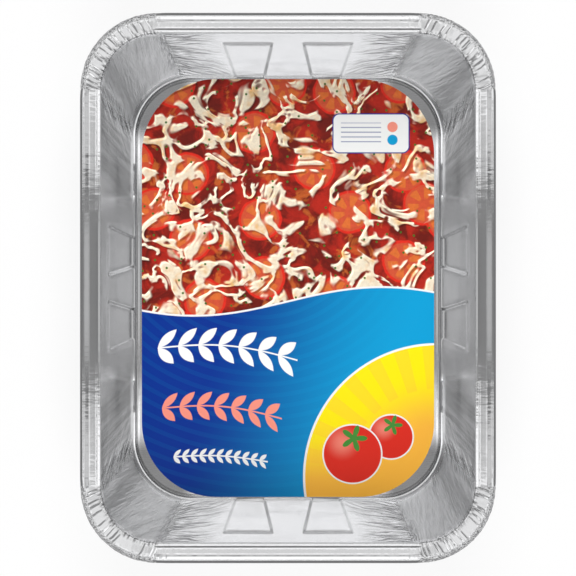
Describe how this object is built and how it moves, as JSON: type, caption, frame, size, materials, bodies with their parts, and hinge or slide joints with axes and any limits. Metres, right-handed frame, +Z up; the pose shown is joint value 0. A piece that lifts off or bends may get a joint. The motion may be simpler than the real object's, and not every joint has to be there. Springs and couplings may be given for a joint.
{
  "type": "foil roasting pan",
  "caption": "Rectangular foil roasting pan with sloping panelled walls, pleated corners and a rolled rim; a loose printed card covers its floor.",
  "frame": {"origin": "centre of the footprint, on the table that the pan stands on", "axes": "+X across the pan, towards a long wall; +Y along the pan, towards a short wall; +Z up, out of the opening"},
  "size_m": [0.2706, 0.358, 0.069],
  "materials": {
    "foil": "bright rolled foil, satin with fine lines",
    "printed_card": "coated card, printed in full colour"
  },
  "bodies": {
    "root": {"pan": "foil", "label_card": "printed_card"}
  },
  "joints": []
}
